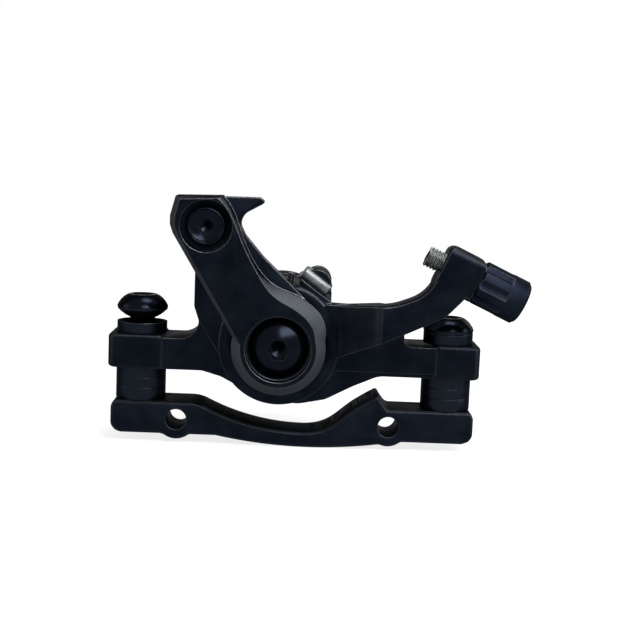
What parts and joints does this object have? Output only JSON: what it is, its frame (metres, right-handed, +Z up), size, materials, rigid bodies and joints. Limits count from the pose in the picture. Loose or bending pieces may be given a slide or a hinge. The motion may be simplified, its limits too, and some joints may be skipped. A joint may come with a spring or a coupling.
{
  "type": "electric scooter brake caliper",
  "caption": "Cable-pulled disc brake caliper for an electric scooter, with ball-ramp lever, barrel adjuster, pads and a slotted post-mount bracket.",
  "frame": {"origin": "middle of the line between the two frame bolt holes of the bracket, in the plane of the caliper bolts", "axes": "+X along the bracket towards the cable stop, +Y from the lever side towards the brake disc, +Z up, away from the wheel's axle"},
  "size_m": [0.0988, 0.0516, 0.06],
  "materials": {
    "black_body": "black anodised, satin",
    "black_bracket": "black anodised, satin",
    "black_lever": "black anodised, satin gloss",
    "black_steel": "black oxide, semi-gloss",
    "black_washer": "black oxide, satin",
    "zinc_steel": "dull zinc plated",
    "knob_black": "black anodised, fine matt",
    "bronze": "sintered bronze",
    "seal_rubber": "matt rubber",
    "hard_steel": "hardened, machined",
    "polished_steel": "polished",
    "spring_steel": "drawn spring wire",
    "pad_steel": "phosphated steel",
    "pad_lining": "sintered friction lining"
  },
  "bodies": {
    "bracket": {"adapter_bracket": "black_bracket", "left_spacer": "black_washer", "left_lower_ball_washer": "black_washer", "left_lower_cup_washer": "black_washer", "left_upper_cup_washer": "black_washer", "right_spacer": "black_washer", "right_lower_ball_washer": "black_washer", "right_lower_cup_washer": "black_washer", "right_upper_cup_washer": "black_washer"},
    "left_washer": {"left_upper_ball_washer": "black_washer"},
    "left_bolt": {"left_mounting_bolt": "black_steel"},
    "right_washer": {"right_upper_ball_washer": "black_washer"},
    "right_bolt": {"right_mounting_bolt": "black_steel"},
    "caliper": {"caliper_body": "black_body", "inboard_half": "black_body", "body_bolts": "black_steel", "shaft_bush": "bronze", "shaft_seal": "seal_rubber", "thrust_washer": "hard_steel", "return_spring": "spring_steel", "spring_tension_screw": "zinc_steel", "pad_spring": "spring_steel"},
    "lever": {"actuating_arm": "black_lever", "pivot_bolt": "black_steel", "drive_cam": "hard_steel", "ramp_balls": "polished_steel", "cable_pinch_bolt": "black_steel", "cable_clamp_plate": "zinc_steel"},
    "piston": {"ramp_piston": "hard_steel", "outboard_pad_plate": "pad_steel", "outboard_pad_lining": "pad_lining"},
    "inboard_pad": {"inboard_pad_plate": "pad_steel", "inboard_pad_lining": "pad_lining", "adjuster_foot": "hard_steel"},
    "pad_adjuster": {"pad_adjuster_knob": "knob_black", "adjuster_clip": "spring_steel"},
    "barrel_screw": {"barrel_adjuster_screw": "zinc_steel"},
    "barrel_knob": {"barrel_adjuster_knob": "knob_black"}
  },
  "joints": [
    {"name": "caliper_align", "type": "slide", "parent": "bracket", "child": "caliper", "axis": [0, 1, 0], "range_m": [-0.0015, 0.0015]},
    {"name": "left_bolt_lift", "type": "slide", "parent": "bracket", "child": "left_washer", "axis": [0, 0, 1], "range_m": [-0.0028, 0]},
    {"name": "left_bolt_turn", "type": "hinge", "parent": "left_washer", "child": "left_bolt", "pos_m": [-0.0347, 0, 0.02], "axis": [0, 0, 1], "range_deg": [-1008.1, 0]},
    {"name": "right_bolt_lift", "type": "slide", "parent": "bracket", "child": "right_washer", "axis": [0, 0, 1], "range_m": [0, 0.003]},
    {"name": "right_bolt_turn", "type": "hinge", "parent": "right_washer", "child": "right_bolt", "pos_m": [0.0395, 0, 0.02], "axis": [0, 0, 1], "range_deg": [0, 1080.1]},
    {"name": "lever_pivot", "type": "hinge", "parent": "caliper", "child": "lever", "pos_m": [-0.0014, -0.0156, 0.0198], "axis": [0, 1, 0], "range_deg": [0, 35.02], "stiffness_Nm_per_rad": 0.12, "springref_deg": -68.75, "deforming": ["return_spring"]},
    {"name": "piston_travel", "type": "slide", "parent": "caliper", "child": "piston", "axis": [0, 1, 0], "range_m": [0, 0.00105], "deforming": ["pad_spring"]},
    {"name": "pad_adjuster_turn", "type": "hinge", "parent": "caliper", "child": "pad_adjuster", "pos_m": [-0.0014, 0.03, 0.0198], "axis": [0, 1, 0], "range_deg": [0, 360.1]},
    {"name": "inboard_pad_travel", "type": "slide", "parent": "caliper", "child": "inboard_pad", "axis": [0, -1, 0], "range_m": [0, 0.001], "deforming": ["pad_spring"]},
    {"name": "barrel_travel", "type": "slide", "parent": "caliper", "child": "barrel_screw", "axis": [0.9092, 0, -0.4163], "range_m": [0, 0.0032]},
    {"name": "barrel_turn", "type": "hinge", "parent": "barrel_screw", "child": "barrel_knob", "pos_m": [0.04857, -0.0122, 0.03471], "axis": [0.9092, 0, -0.4163], "range_deg": [0, 1440.1]}
  ],
  "couplings": [
    {"joint": "left_bolt_turn", "follows": "left_bolt_lift", "rad_per_m": 6283.2},
    {"joint": "right_bolt_turn", "follows": "right_bolt_lift", "rad_per_m": 6283.2},
    {"joint": "lever_pivot", "follows": "piston_travel", "rad_per_m": 581.78},
    {"joint": "pad_adjuster_turn", "follows": "inboard_pad_travel", "rad_per_m": 6283.2},
    {"joint": "barrel_turn", "follows": "barrel_travel", "rad_per_m": 7854}
  ]
}
